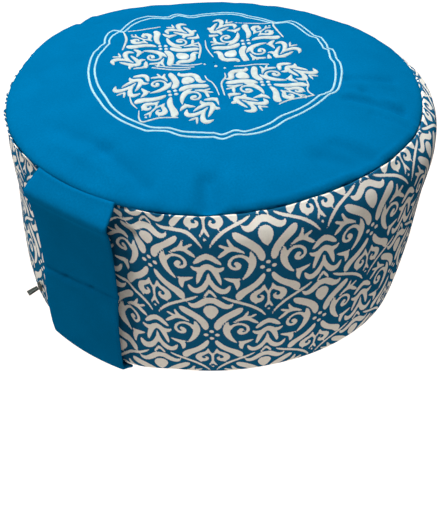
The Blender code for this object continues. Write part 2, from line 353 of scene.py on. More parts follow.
def to_view(x, y):
    """Metres in the part's frame to mm in the view's axes."""
    across = x * math.cos(VIEW_TURN) + y * math.sin(VIEW_TURN)
    away = y * math.cos(VIEW_TURN) - x * math.sin(VIEW_TURN)
    return across / MM, away / MM


# ---- the form ----


def uneven(column, azimuth):
    """One column of the unevenness, in metres, at an azimuth in radians."""
    return MM * smooth_curve(UNEVEN, column, np.degrees(azimuth), 360)


def seam_height(azimuth):
    return SEAM_HEIGHT + uneven(1, azimuth)


def crown_height(azimuth, radius):
    share = radius / SEAM_RADIUS
    crown = CROWN_RISE * (1 - share**CROWN_POWER)
    return SEAM_HEIGHT + uneven(1, azimuth) * share**UNEVEN_POWER + crown


def strap_bed(across, height):
    """How far out the wall lies where it is pressed flat behind the strap."""
    bed, drop = (smooth_curve(STRAP, column, height / MM) * MM for column in (4, 5))
    return bed - drop * (across / STRAP_REACH) ** 2


def wall_point(azimuth, share):
    """Radius and height of the wall at an azimuth and a share of the way from its top to its foot."""
    height = (seam_height(azimuth) - SEAM_DROP) * (1 - share) + BAND_FOOT_HEIGHT * share
    draw_in = uneven(2, azimuth) * smooth_curve(DRAW_IN_SHARE, 1, share)
    spread = ease((share - FOOT_SPREAD_START) / (1 - FOOT_SPREAD_START))
    foot_out = uneven(3, azimuth) * spread
    radius = SEAM_RADIUS + MM * smooth_curve(BULGE, 1, share) - draw_in + foot_out
    across = radius * np.sin(azimuth)
    beside = np.abs(across) - STRAP_REACH
    front = np.cos(azimuth)
    bed = strap_bed(across, height) / np.maximum(front, LEAST_FRONT)
    pressed = ease((PRESSED_BESIDE - beside) / (PRESSED_BESIDE - PRESSED_FULLY)) * (front > 0)
    return radius + (np.minimum(radius, bed) - radius) * pressed, height


def band_surface(azimuth, share):
    """The wall, and past a share of 1 its turn under as far as the base's seam."""
    radius, height = wall_point(azimuth, np.minimum(share, 1.0))
    under = np.maximum(share - 1.0, 0.0)
    return radius - BASE_TURN * under, height * (1 - under) ** 2


def placed(azimuth, radius, height):
    """Points in the part's frame."""
    azimuth, radius, height = np.broadcast_arrays(azimuth, radius, height)
    return np.stack([radius * np.sin(azimuth), -radius * np.cos(azimuth), height], -1)


# ---- meshes ----


def ring_faces(rows, columns):
    """Quads between rows of points, with each row closed into a ring."""
    i, k = np.meshgrid(np.arange(columns), np.arange(rows - 1))
    a = k * columns + i
    b = k * columns + (i + 1) % columns
    return np.stack([a, a + columns, b + columns, b], -1).reshape(-1, 4)


def add_object(name, data):
    made = bpy.data.objects.new(name, data)
    bpy.context.scene.collection.objects.link(made)
    return made


def add_mesh(name, points, faces, finish, **numbers):
    """A smooth mesh, with named numbers kept for its vertices."""
    mesh = bpy.data.meshes.new(name)
    mesh.from_pydata(np.asarray(points, float).reshape(-1, 3).tolist(), [], np.asarray(faces).tolist())
    mesh.materials.append(finish)
    mesh.shade_smooth()
    for key, values in numbers.items():
        mesh.attributes.new(key, "FLOAT", "POINT").data.foreach_set("value", np.ravel(values))
    return add_object(name, mesh)


def map_cloth(made, places, way_round=None):
    """A map in metres of cloth, from one place for each vertex. Where the way round a closed band is given,
    the faces between its two ends are mapped that much further on, apart from the rest."""
    mesh = made.data
    corners = np.empty(len(mesh.loops), int)
    mesh.loops.foreach_get("vertex_index", corners)
    uv = np.asarray(places, float).reshape(-1, 2)[corners]
    if way_round:
        closing = np.ptp(uv[:, 0].reshape(-1, 4), axis=1) > way_round / 2
        uv[:, 0] += np.repeat(closing, 4) * way_round
    mesh.uv_layers.new(name="cloth").data.foreach_set("uv", uv.ravel())


# ---- the motif ----

FIELD_REACH = 3.0  # mm: how far from a stroke its distance is still worked out
DISC_SPACING = 0.35  # mm, along a stroke
PRINT_GRID = 0.25  # mm


def discs(rows):
    """A stroke as a string of discs (x, y, radius) on a smooth line through its rows."""
    rows = np.array(rows, float)
    if len(rows) == 1:
        return rows * (1, 1, 0.5)
    padded = np.vstack([2 * rows[0] - rows[1], rows, 2 * rows[-1] - rows[-2]])
    parts = []
    for a, b, c, d in zip(padded[:-3], padded[1:-2], padded[2:-1], padded[3:]):
        steps = max(2, int(np.hypot(*(c - b)[:2]) / DISC_SPACING))
        t = np.linspace(0, 1, steps, endpoint=False)[:, None]
        cubic = (3 * b - a - 3 * c + d) * t**3
        parts.append(0.5 * (2 * b + (c - a) * t + (2 * a - 5 * b + 4 * c - d) * t * t + cubic))
    parts.append(rows[-1:])
    return np.vstack(parts) * (1, 1, 0.5)


def ogee_cell(with_lattice=True):
    """The strokes of one whole cell, with the column on either side of it."""
    strokes = []
    tables = [CELL, LATTICE] if with_lattice else [CELL]
    for table in tables:
        for rows in table.values():
            strokes += [discs(rows), discs(rows) * (-1, 1, 1)]
    for rows in COLUMN.values():
        for side in (1, -1):
            for axis in (1, -1):
                strokes.append(discs(rows) * (side, 1, 1) + (axis * REPEAT_ACROSS / 2, 0, 0))
    return strokes


def stroke_field(x, y, strokes):
    """Distance in mm from points to the nearest stroke's edge, below 0 inside, and the way along it."""
    shape = x.shape
    x, y = x.ravel(), y.ravel()
    field, along = np.full(x.shape, FIELD_REACH), np.zeros(x.shape)
    for stroke in strokes:
        reach = FIELD_REACH + stroke[:, 2].max()
        low = stroke[:, :2].min(0) - reach
        high = stroke[:, :2].max(0) + reach
        near = np.nonzero((x > low[0]) & (x < high[0]) & (y > low[1]) & (y < high[1]))[0]
        if not len(near):
            continue
        gaps = np.hypot(x[near, None] - stroke[:, 0], y[near, None] - stroke[:, 1]) - stroke[:, 2]
        best = gaps.argmin(1)
        gap = gaps[np.arange(len(near)), best]
        closer = gap < field[near]
        field[near[closer]] = gap[closer]
        along[near[closer]] = best[closer] * DISC_SPACING
    return field.reshape(shape), along.reshape(shape)


def print_field(x, y):
    """The print's field at places in mm from a four-dot cluster, read from a grid of a quarter cell."""
    half_x, half_y = REPEAT_ACROSS / 2, REPEAT_UP / 2
    grid_x = np.linspace(0, half_x, int(half_x / PRINT_GRID) + 1)
    grid_y = np.linspace(-half_y / 2, half_y / 2, int(half_y / PRINT_GRID) + 1)
    strokes = []
    for across, up in ((0, 0), (1, 1), (1, -1), (-1, 1), (-1, -1), (2, 0), (0, 2), (0, -2)):
        strokes += [stroke + (across * half_x, up * half_y, 0) for stroke in ogee_cell()]
    grid, _ = stroke_field(*np.meshgrid(grid_x, grid_y, indexing="ij"), strokes)
    row = np.round(y / half_y)
    y = y - row * half_y
    x = x - (row % 2) * half_x
    x = np.abs((x + half_x) % REPEAT_ACROSS - half_x)
    at_x, at_y = x / half_x * (len(grid_x) - 1), (y / half_y + 0.5) * (len(grid_y) - 1)
    i = np.clip(at_x.astype(int), 0, len(grid_x) - 2)
    j = np.clip(at_y.astype(int), 0, len(grid_y) - 2)
    u, v = at_x - i, at_y - j
    lower = grid[i, j] * (1 - u) + grid[i + 1, j] * u
    upper = grid[i, j + 1] * (1 - u) + grid[i + 1, j + 1] * u
    return lower * (1 - v) + upper * v


# ---- materials ----

TURQUOISE = (0.0, 0.093, 0.222, 1.0)
TURQUOISE_WORN = (0.0, 0.114, 0.268, 1.0)
GROUND_DARK = (0.005, 0.079, 0.166, 1.0)
GROUND_LIGHT = (0.009, 0.109, 0.226, 1.0)
IVORY_DARK = (0.71, 0.685, 0.61, 1.0)
IVORY_LIGHT = (0.88, 0.85, 0.77, 1.0)
THREAD_WHITE = (0.52, 0.58, 0.555, 1.0)
THREAD_PALE = (0.36, 0.62, 0.71, 1.0)
METAL_DARK = (0.02, 0.03, 0.028, 1.0)
METAL_WORN = (0.09, 0.10, 0.09, 1.0)
FUZZ = (0.0, 0.30, 0.55, 1.0)
THREAD_SHADE = 0.6  # of a thread's colour, in its darker places, which lie at random
WEAVE_RELIEF = 0.0002  # m: how deep the weave is
SLUB_WEIGHT = 1.6  # of the weave's unevenness, against its threads
RAGGED_EDGE = 0.9  # mm: how far the ink's edge strays
STITCH_PITCH = 0.55  # mm from one stitch to the next
STITCH_RELIEF = 0.00015  # m: how deep the stitches are


def node(tree, kind, inputs=None, **settings):
    """One shader node: a socket among its inputs is linked, and anything else is set."""
    made = tree.nodes.new("ShaderNode" + kind)
    for key, value in settings.items():
        setattr(made, key, value)
    for key, value in (inputs or {}).items():
        if isinstance(value, bpy.types.NodeSocket):
            tree.links.new(value, made.inputs[key])
        else:
            made.inputs[key].default_value = value
    return made


def math_step(tree, operation, *values):
    """One step of arithmetic on numbers or sockets."""
    return node(tree, "Math", dict(enumerate(values)), operation=operation).outputs[0]


def ramp(tree, value, start, end, low=0.0, high=1.0):
    """A number that goes from low to high as a value goes from start to end, and stays there past them."""
    inputs = {"Value": value, "From Min": start, "From Max": end, "To Min": low, "To Max": high}
    return node(tree, "MapRange", inputs).outputs[0]


def noise(tree, place, scale, detail, roughness=0.5):
    inputs = {"Vector": place, "Scale": scale, "Detail": detail, "Roughness": roughness}
    return node(tree, "TexNoise", inputs).outputs["Fac"]


def blend(tree, share, first, second):
    """A colour between two."""
    return node(tree, "Mix", {0: share, 6: first, 7: second}, data_type="RGBA").outputs[2]


def kept_number(tree, name):
    """A number that the mesh keeps for its vertices."""
    return node(tree, "Attribute", attribute_name=name).outputs["Fac"]


def way_towards(tree, place, direction):
    """How far a place lies in a direction."""
    return node(tree, "VectorMath", {0: place, 1: direction}, operation="DOT_PRODUCT").outputs["Value"]


def new_material(name, roughness, sheen=0.0, metallic=0.0, specular=0.0):
    made = bpy.data.materials.new(name)
    made.use_nodes = True
    shader = made.node_tree.nodes["Principled BSDF"]
    shader.inputs["Roughness"].default_value = roughness
    shader.inputs["Metallic"].default_value = metallic
    shader.inputs["Specular IOR Level"].default_value = specular
    shader.inputs["Sheen Weight"].default_value = sheen
    shader.inputs["Sheen Roughness"].default_value = 0.5
    shader.inputs["Sheen Tint"].default_value = FUZZ
    return made, made.node_tree, shader


def weave_bump(tree, coordinates, pitch, strength):
    """Plain weave: warp and weft threads as crossing ridges, a little uneven."""
    split = node(tree, "SeparateXYZ", {0: coordinates})
    ridges = []
    for axis in (0, 1):
        turns = math_step(tree, "MULTIPLY", split.outputs[axis], 2 * math.pi / pitch)
        ridges.append(math_step(tree, "SINE", turns))
    crossing = math_step(tree, "MULTIPLY", *ridges)
    slubs = noise(tree, coordinates, scale=900.0, detail=2.0, roughness=0.6)
    height = math_step(tree, "MULTIPLY_ADD", slubs, SLUB_WEIGHT, crossing)
    return node(tree, "Bump", {"Height": height, "Strength": strength, "Distance": WEAVE_RELIEF})


def make_plain_cotton(name, colour, worn):
    made, tree, shader = new_material(name, roughness=0.9, sheen=0.12)
    cloth = node(tree, "UVMap", uv_map="cloth").outputs[0]
    cloudy = noise(tree, cloth, scale=26.0, detail=3.0, roughness=0.55)
    fine = noise(tree, cloth, scale=700.0, detail=2.0, roughness=0.6)
    wear = ramp(tree, math_step(tree, "MULTIPLY", cloudy, fine), start=0.12, end=0.42)
    tree.links.new(blend(tree, wear, colour, worn), shader.inputs["Base Color"])
    bump = weave_bump(tree, cloth, pitch=0.0006, strength=0.35)
    tree.links.new(bump.outputs[0], shader.inputs["Normal"])
    return made


def make_printed_cotton():
    """Ivory ink on a turquoise ground, where the mesh keeps the distance to the ink's edge."""
    made, tree, shader = new_material("printed_cotton", roughness=0.88, sheen=0.08)
    cloth = node(tree, "UVMap", uv_map="cloth").outputs[0]
    fine = noise(tree, cloth, scale=1100.0, detail=2.0, roughness=0.6)
    ragged = math_step(tree, "MULTIPLY_ADD", fine, RAGGED_EDGE, kept_number(tree, "print_mm"))
    inked = ramp(tree, ragged, start=0.55, end=0.35)
    tint = noise(tree, cloth, scale=420.0, detail=3.0, roughness=0.7)
    ivory = blend(tree, tint, IVORY_DARK, IVORY_LIGHT)
    ground = blend(tree, tint, GROUND_DARK, GROUND_LIGHT)
    tree.links.new(blend(tree, inked, ground, ivory), shader.inputs["Base Color"])
    bump = weave_bump(tree, cloth, pitch=0.0007, strength=0.4)
    tree.links.new(bump.outputs[0], shader.inputs["Normal"])
    return made


def make_thread(name, colour):
    """Satin stitch: threads side by side along each stroke, with darker places strewn at random."""
    made, tree, shader = new_material(name, roughness=0.6, specular=0.2)
    turns = math_step(tree, "MULTIPLY", kept_number(tree, "stitch_mm"), 2 * math.pi / STITCH_PITCH)
    ridges = math_step(tree, "SINE", turns)
    bump = node(tree, "Bump", {"Height": ridges, "Strength": 0.5, "Distance": STITCH_RELIEF})
    tree.links.new(bump.outputs[0], shader.inputs["Normal"])
    tint = noise(tree, node(tree, "TexCoord").outputs["Object"], scale=300.0, detail=2.0)
    darker = tuple(c * THREAD_SHADE for c in colour[:3]) + (1.0,)
    tree.links.new(blend(tree, tint, darker, colour), shader.inputs["Base Color"])
    return made


def make_zip_metal():
    made, tree, shader = new_material("dark_zip_metal", roughness=0.42, metallic=0.85, specular=0.4)
    wear = noise(tree, node(tree, "TexCoord").outputs["Object"], scale=400.0, detail=4.0)
    tree.links.new(blend(tree, wear, METAL_DARK, METAL_WORN), shader.inputs["Base Color"])
    rough = ramp(tree, wear, start=0.0, end=1.0, low=0.3, high=0.6)
    tree.links.new(rough, shader.inputs["Roughness"])
    return made


# ---- the top panel and its medallion ----

LIP = (
    # out_mm, up_mm from the seam line: the panel's edge rolls over and down into the seam
    (-6.5, 2.66),
    (-5.0, 1.95),
    (-3.7, 1.10),
    (-2.6, 0.10),
    (-1.8, -1.00),
    (-1.4, -2.10),
    (-1.5, -3.00),
    (-2.6, -3.60),
)
LIP_STEP = 0.0009  # m of cloth from one of its rows to the next
TOP_COLUMNS = 360
TOP_RINGS = 84
TOP_CENTRE = 0.0005  # the first ring's radius
TOP_START = 0.004  # and the next one's
PUCKER_START = 0.82  # of the seam's radius, where its puckers begin
SWELL_AT_SEAM = 0.5  # of the swell, where the puckers are full
TOP_SWELL = (
    # cell_x, cell_y in metres, start_x, start_y in cells, seed, height_mm
    (0.055, 0.055, 20, 20, 3, 0.45),
    (0.024, 0.024, 40, 40, 4, 0.175),
)
TOP_PUCKERS = (
    # cell_along_the_seam in metres, cell_outwards in seam radii, their starts in cells, seed, height_mm
    (0.013, 1 / 1.5, 100, 0, 5, 0.55),
    (0.013 / 2.1, 1 / 2, 100, 0, 6, 0.33),
)
CREASES = (
    # Soft troughs, below 0, and ridges in the top cloth, in the view's axes
    # from_across_mm, from_away_mm, to_across_mm, to_away_mm, half_width_mm, height_mm
    (-106, -76, -72, -101, 6.0, -2.4),
    (-74, -100, -44, -135, 6.0, -2.6),
    (-106, -91, -86, -105, 5.0, 1.2),
    (-86, -106, -58, -131, 5.5, 1.4),
    (98, -18, 132, -11, 4.0, -1.9),
    (96, -27, 128, -20, 4.0, 0.9),
    (94, -45, 134, -49, 3.5, -2.5),
    (96, -38, 132, -40, 3.5, 1.3),
    (108, -33, 142, -55, 3.5, -2.0),
    (112, -60, 136, -66, 4.0, -1.6),
    (80, -100, 104, -110, 5.0, -1.8),
    (82, -92, 108, -100, 5.0, 0.9),
    (70, -112, 90, -115, 7.0, -2.2),
    (-104, 48, -88, 60, 3.5, -1.0),
    (-96, 40, -90, 28, 3.5, -0.9),
    (-134, -2, -128, -14, 5.0, -1.0),
    (-116, -66, -104, -72, 5.0, -0.9),
    (-118, 106, -97, 86, 4.0, -2.0),
    (-110, 115, -93, 96, 3.5, 0.9),
    (-2, -150, -3, -134, 6.5, -4.2),
    (-15, -147, -13, -133, 4.5, 1.0),
    (12, -147, 10, -133, 4.5, 1.0),
)


def top_relief(x, y):
    """How far the top cloth stands off its smooth crown: soft creases and the seam's puckers."""
    azimuth = np.arctan2(x, -y)
    share = np.hypot(x, y) / SEAM_RADIUS
    near_seam = ease((share - PUCKER_START) / (1 - PUCKER_START))
    swell = waves(x, y, TOP_SWELL) * (1 - (1 - SWELL_AT_SEAM) * near_seam)
    puckers = waves(azimuth * SEAM_RADIUS, share, TOP_PUCKERS) * near_seam
    return MM * (swell + puckers + crease_relief(*to_view(x, y), CREASES))


def top_height(x, y):
    azimuth, radius = np.arctan2(x, -y), np.hypot(x, y)
    return crown_height(azimuth, radius) + top_relief(x, y)


def make_top(finish):
    azimuth = whole_turn(TOP_COLUMNS)
    edge = SEAM_RADIUS + LIP[0][0] * MM
    rings = np.append(TOP_CENTRE, np.linspace(TOP_START, edge, TOP_RINGS))
    rows = []
    for radius in rings:
        point = placed(azimuth, radius, 0.0)
        point[:, 2] = top_height(point[:, 0], point[:, 1])
        rows.append(point)
    at_edge = rows[-1][:, 2] - crown_height(azimuth, edge)
    for out, up in LIP[1:]:
        lift = crown_height(azimuth, SEAM_RADIUS) + up * MM
        fade = ease((up - LIP[-1][1]) / (LIP[0][1] - LIP[-1][1]))
        rows.append(placed(azimuth, SEAM_RADIUS + out * MM, lift + at_edge * fade))
    flat = np.concatenate([rings, edge + LIP_STEP * np.arange(1, len(LIP))])
    made = add_mesh("top_cloth", rows, ring_faces(len(rows), TOP_COLUMNS), finish)
    map_cloth(made, placed(azimuth, flat[:, None], 0.0)[..., :2])
    return made


MEDALLION_CENTRE = (-0.4, -4.4)  # mm, in the axes of the view: across it and away from it
MOTIF_WEIGHT = 0.92  # of the charted widths
QUARTERS = (
    # centre_x_mm, centre_y_mm, then where 1 mm across the cell and 1 mm towards its head lead, x and y
    (24.9, 36.5, 0.61, -0.52, -0.49, -0.79),
    (-38.5, 28.0, 0.48, 0.61, 0.64, -0.58),
    (-28.3, -40.1, -0.65, 0.41, 0.42, 0.72),
    (37.5, -26.0, -0.48, -0.55, -0.68, 0.46),
)
CROSS_TURN = math.radians(9.0)  # anticlockwise: the bare cross that parts the quarters
CROSS_HALF = 1.7  # mm: half its width at the centre
CROSS_SPREAD = 0.045  # and how much it widens for each mm outwards
THIN_LINES = (
    # x_mm, y_mm, width_mm about the medallion's centre, in the view's axes
    ((-12.1, 38, 0.8), (-10.8, 33, 1.7), (-9.8, 25, 1.9), (-10.8, 11.5, 1.5)),
    ((-6.6, 42, 0.7), (-5.7, 30, 1.3), (-4, 23, 1.3), (-0.2, 13, 1.1)),
    ((8.4, -11.5, 1.0), (8.8, -17.5, 1.5), (6, -26.5, 1.6), (8.1, -42.5, 1.1)),
    ((-6, -15.5, 1.0), (-4, -21.5, 1.3), (-0.5, -25.5, 1.2), (2.5, -34, 1.2), (4.4, -43, 0.9)),
    ((-45, -3.4, 1.2), (-34, -6.2, 1.4), (-25, -7.2, 1.4), (-17, -5.5, 1.1)),
    ((-43, -0.4, 0.9), (-33, -2.8, 1.2), (-24, -3.6, 1.2), (-14, -2.4, 1.0)),
    ((-31, 1.2, 0.9), (-21, 0.2, 1.3), (-13, 0.8, 1.2), (-8.5, 2.6, 1.0)),
    ((15.5, -1.2, 1.1), (22, -0.6, 1.2), (31, 1.4, 1.2), (41, 1.6, 1.0)),
    ((1.9, -1.3, 2.6),),
    ((-6.4, 1.5, 2.0),),
    ((8.5, -4.0, 2.2),),
    ((-72, 59, 1.0), (-69.2, 50, 2.0), (-68, 41.5, 2.1), (-69.4, 26.5, 1.5)),
    ((-68, 59, 0.9), (-60, 60, 1.0), (-52, 62.5, 1.2), (-43, 65.5, 1.2)),
    ((48, 77.5, 1.0), (48.2, 69, 1.9), (50.2, 61, 1.8), (54.5, 47.5, 1.3)),
    ((17, 73.5, 0.8), (28, 72.5, 0.9), (40, 73, 0.9), (47.5, 76, 1.0)),
    ((-58.2, -43.5, 1.0), (-56, -52, 1.5), (-52, -58.5, 0.9)),
    (
        (-50.6, -61, 0.8), (-49.8, -70, 1.5), (-47.2, -74, 1.4),
        (-41.5, -72, 1.4), (-35, -70, 1.4), (-23.5, -70, 1),
    ),
    ((67.2, -19.5, 1.0), (68.1, -26.5, 1.6), (66.9, -32.5, 1.4), (67.8, -37.5, 1.4), (70.9, -41, 1.4)),
    ((70.9, -41, 1.2), (62.5, -44.7, 1.4), (55, -47.5, 1.4), (50, -50.3, 1.5), (45.6, -53.8, 1.0)),
)
RING = (
    # angle in degrees anticlockwise from the view's right, radius_mm, gap_mm between its two lines
    (-90, 90.8, 4.2),
    (-86, 93.2, 4.5),
    (-80, 90.1, 4.4),
    (-76, 91.7, 3.4),
    (-71, 92.2, 4.6),
    (-64, 91.1, 5.2),
    (-55, 87.8, 5.4),
    (-47, 88.2, 4.8),
    (-38, 88.7, 4.4),
    (-29, 89.5, 4.6),
    (-25.5, 90.1, 2.6),
    (-22, 93.0, 3.0),
    (-18, 94.1, 3.7),
    (-12, 94.1, 3.9),
    (0, 95.0, 4.7),
    (5, 95.3, 4.6),
    (9, 94.2, 4.6),
    (16, 96.0, 4.4),
    (18, 96.3, 3.6),
    (20, 93.8, 3.6),
    (23, 95.6, 4.2),
    (27.5, 97.4, 4.4),
    (31.4, 98.9, 4.0),
    (34.4, 96.2, 4.0),
    (38, 97.4, 4.6),
    (43, 100.0, 5.0),
    (47.5, 103.0, 5.2),
    (50.5, 104.8, 5.5),
    (52.5, 104.5, 5.5),
    (54.5, 98.0, 4.0),
    (57, 91.6, 3.0),
    (60, 92.0, 3.5),
    (65, 93.4, 4.2),
    (72, 94.5, 4.4),
    (77, 97.8, 4.4),
    (81.5, 98.8, 4.4),
    (90, 96.0, 4.4),
    (96, 94.5, 4.4),
    (100.5, 92.0, 4.4),
    (103.5, 93.0, 4.4),
    (106, 97.5, 4.4),
    (108, 99.9, 4.4),
    (110.5, 98.5, 4.4),
    (113, 95.7, 4.4),
    (115.5, 97.5, 4.4),
    (118.5, 102.5, 5.0),
    (121.5, 106.5, 6.5),
    (126, 106.8, 7.0),
    (130, 104.5, 6.0),
    (134, 101.2, 4.8),
    (138.5, 97.6, 4.4),
    (140.6, 96.4, 4.0),
    (141.6, 102.5, 6.0),
    (143.7, 102.6, 6.6),
    (147.5, 100.5, 5.2),
    (151.7, 96.9, 4.3),
    (155, 93.8, 4.2),
    (157.5, 95.0, 5.5),
    (161, 95.5, 6.2),
    (168, 94.6, 5.2),
    (174, 93.4, 4.9),
    (180, 92.5, 4.6),
    (193, 91.3, 5.0),
    (206, 91.1, 5.4),
    (220, 93.1, 4.6),
    (230, 94.2, 4.4),
    (241.5, 94.2, 4.4),
    (245.5, 91.6, 3.2),
    (250.5, 89.6, 3.5),
    (257.5, 91.5, 4.4),
    (264, 91.2, 4.8),
)
RING_WIDTH = 1.7
RING_STEPS = 1080  # round it
RING_ROWS = 7  # across each of its lines
RING_STAND = 0.5  # mm: how far the middle of a line stands up
RING_TUCK = 0.12  # mm: how deep its edges lie
STITCH_GRID = 0.42  # mm, of the scrolls' mesh
STITCH_STAND = 0.55  # mm: how far a scroll stands up
STITCH_TUCK = 0.15  # mm: how deep its edge lies
STITCH_SHOULDER = 1.0  # mm: how far inside its edge it stands up fully
SCROLLS_REACH = 100.0  # mm, from the medallion's centre
LEAST_SLOPE = 0.3  # of the field, where an edge is drawn to its line


def quarter_strokes(centre_x, centre_y, across_x, across_y, head_x, head_y):
    """A copy of the ogee cell, head inward, in mm in the view's axes about the medallion's centre."""
    strokes = []
    for stroke in ogee_cell(with_lattice=False):
        x, y, radius = stroke.T
        placed_x = centre_x + x * across_x + y * head_x
        placed_y = centre_y + x * across_y + y * head_y
        strokes.append(np.stack([placed_x, placed_y, radius * MOTIF_WEIGHT], -1))
    return strokes


def medallion_field(x, y):
    """The stitched shapes' field: four quarters, parted by a bare cross, and the thin lines."""
    cos, sin = math.cos(CROSS_TURN), math.sin(CROSS_TURN)
    right, up = x * cos + y * sin, y * cos - x * sin
    half = CROSS_HALF + CROSS_SPREAD * np.hypot(x, y)
    field, along = stroke_field(x, y, [discs(rows) for rows in THIN_LINES])
    for quarter, (side, rise) in zip(QUARTERS, ((1, 1), (-1, 1), (-1, -1), (1, -1))):
        inside = np.minimum(right * side, up * rise)
        shapes, place = stroke_field(x, y, quarter_strokes(*quarter))
        shapes = np.maximum(shapes, half - inside)
        along = np.where(shapes < field, place, along)
        field = np.minimum(field, shapes)
    return field, along


def make_medallion(finish):
    """Satin-stitched shapes: the cells of a fine grid inside the strokes, drawn to their edges and raised."""
    line = np.arange(-SCROLLS_REACH, SCROLLS_REACH + STITCH_GRID, STITCH_GRID)
    count = len(line)
    x, y = np.meshgrid(line, line, indexing="ij")
    field, along = medallion_field(x, y)
    kept = field[:-1, :-1] + field[1:, :-1] + field[1:, 1:] + field[:-1, 1:] < 0
    i, j = np.nonzero(kept)
    first = i * count + j
    faces = np.stack([first, first + count, first + count + 1, first + 1], -1)

    cells = np.pad(kept, 1)
    cells_round = (cells[:-1, :-1], cells[1:, :-1], cells[:-1, 1:], cells[1:, 1:])
    used = np.any(cells_round, axis=0)
    edge = used & ~np.all(cells_round, axis=0)
    slope_x, slope_y = np.gradient(field, STITCH_GRID)
    steep = np.maximum(np.hypot(slope_x, slope_y), LEAST_SLOPE)
    furthest = 0.6 * STITCH_GRID
    move = np.where(edge, np.clip(field, -furthest, furthest) / steep**2, 0)
    x, y = x - slope_x * move, y - slope_y * move
    depth = np.clip(-field / STITCH_SHOULDER, 0, 1)
    rise = np.where(edge, -STITCH_TUCK, STITCH_STAND * np.sqrt(1 - (1 - depth) ** 2))

    part_x, part_y = from_view(x + MEDALLION_CENTRE[0], y + MEDALLION_CENTRE[1])
    points = np.stack([part_x, part_y, top_height(part_x, part_y) + rise * MM], -1)
    chosen = np.nonzero(used.ravel())[0]
    index = np.full(count * count, -1)
    index[chosen] = np.arange(len(chosen))
    points, along = points.reshape(-1, 3)[chosen], along.ravel()[chosen]
    return add_mesh("medallion_scrolls", points, index[faces], finish, stitch_mm=along)


def make_ring(name, inset, finish):
    """One stitched line of the medallion's scalloped ring, a share of the gap inside its radius."""
    angle = np.linspace(0, 360, RING_STEPS, endpoint=False)
    radius = smooth_curve(RING, 1, angle, 360) - inset * smooth_curve(RING, 2, angle, 360)
    line = np.stack([radius * np.cos(np.radians(angle)), radius * np.sin(np.radians(angle))], -1)
    tangent = np.roll(line, -1, 0) - np.roll(line, 1, 0)
    length = np.linalg.norm(tangent, axis=1)
    normal = np.stack([tangent[:, 1], -tangent[:, 0]], -1) / length[:, None]
    rows = []
    for share in np.linspace(-1, 1, RING_ROWS):
        at = line + normal * share * RING_WIDTH / 2
        x, y = from_view(at[:, 0] + MEDALLION_CENTRE[0], at[:, 1] + MEDALLION_CENTRE[1])
        rise = RING_STAND * math.sqrt(max(0.0, 1 - share**2)) - RING_TUCK
        rows.append(np.stack([x, y, top_height(x, y) + rise * MM], -1))
    along = np.tile(np.cumsum(length / 2), (RING_ROWS, 1))
    return add_mesh(name, rows, ring_faces(RING_ROWS, RING_STEPS), finish, stitch_mm=along)


# ---- the printed band ----

BAND_COLUMNS = REPEATS * 60
BAND_ROWS = 122
PRINT_AZIMUTH = 21.3  # degrees: a four-dot cluster of the upper row
PRINT_HEIGHT = 0.121  # and how high it lies
PROFILE_AZIMUTH = math.radians(130)  # where the wall's length down its profile is measured
PROFILE_STEPS = 600
TURN_UNDER = 0.25  # of the base's turn, which the band takes
BAND_MAP_RADIUS = 0.165  # m: the band's map is that of a cylinder
PUCKER_DEPTH = 0.012  # m of cloth: how soon the seam's puckers fade downwards
GROOVE = (
    # out_mm, up_mm from the wall's top: the band's edge turns down into the seam
    (-1.4, -1.60),
    (-1.0, -0.80),
    (-0.5, -0.25),
)
GROOVE_MAP = (-0.003, -0.002, -0.001)  # m of cloth down from the wall's top, for the groove's rows
SWELL_START = 0.01  # m of cloth, from the wall's top until the swell is full
SWELL_END = 0.02  # and where it fades again, up to the band's end
BAND_PUCKERS = ((0.009, 0.03, 60, 0, 11, 0.45),)  # with the columns of BAND_SWELL
BAND_SWELL = (
    # cell_around, cell_down in metres, start_around, start_down in cells, seed, height_mm
    (0.06, 0.05, 60, 3, 12, 0.7),
    (0.026, 0.03, 60, 3, 13, 0.28),
)
WALL_CREASES = (
    # Troughs beside the strap, in mm of cloth around from its middle and down from the seam
    # from_around_mm, from_down_mm, to_around_mm, to_down_mm, half_width_mm, height_mm
    (34, 21, 45, 26, 5.0, -4.6),
    (45, 26, 58, 33, 3.5, -1.6),
    (37, 30, 37, 138, 5.5, -2.6),
    (40, 62, 50, 70, 3.5, -1.0),
    (40, 108, 52, 124, 4.0, -1.2),
    (-37, 20, -37, 138, 5.0, -3.0),
)


def mm_around(degrees):
    """mm of cloth round the band, for an angle."""
    return degrees / 360 * REPEATS * REPEAT_ACROSS


def band_print(degrees, down, cluster_down):
    """The print's field at azimuths and mm down the cloth, where a four-dot cluster is at cluster_down."""
    across, down = np.meshgrid(mm_around(degrees - PRINT_AZIMUTH), down)
    lean = smooth_curve(PRINT_LEAN, 1, down) * smooth_curve(PRINT_LEAN_SHARE, 1, degrees, 360)
    beside = smooth_curve(BESIDE_STRAP, 1, degrees, 360)
    rise = smooth_curve(PRINT_RISE, 1, down) * (1 - beside) + smooth_curve(PRINT_RISE, 2, down) * beside
    return print_field(across - lean, cluster_down - down - rise)


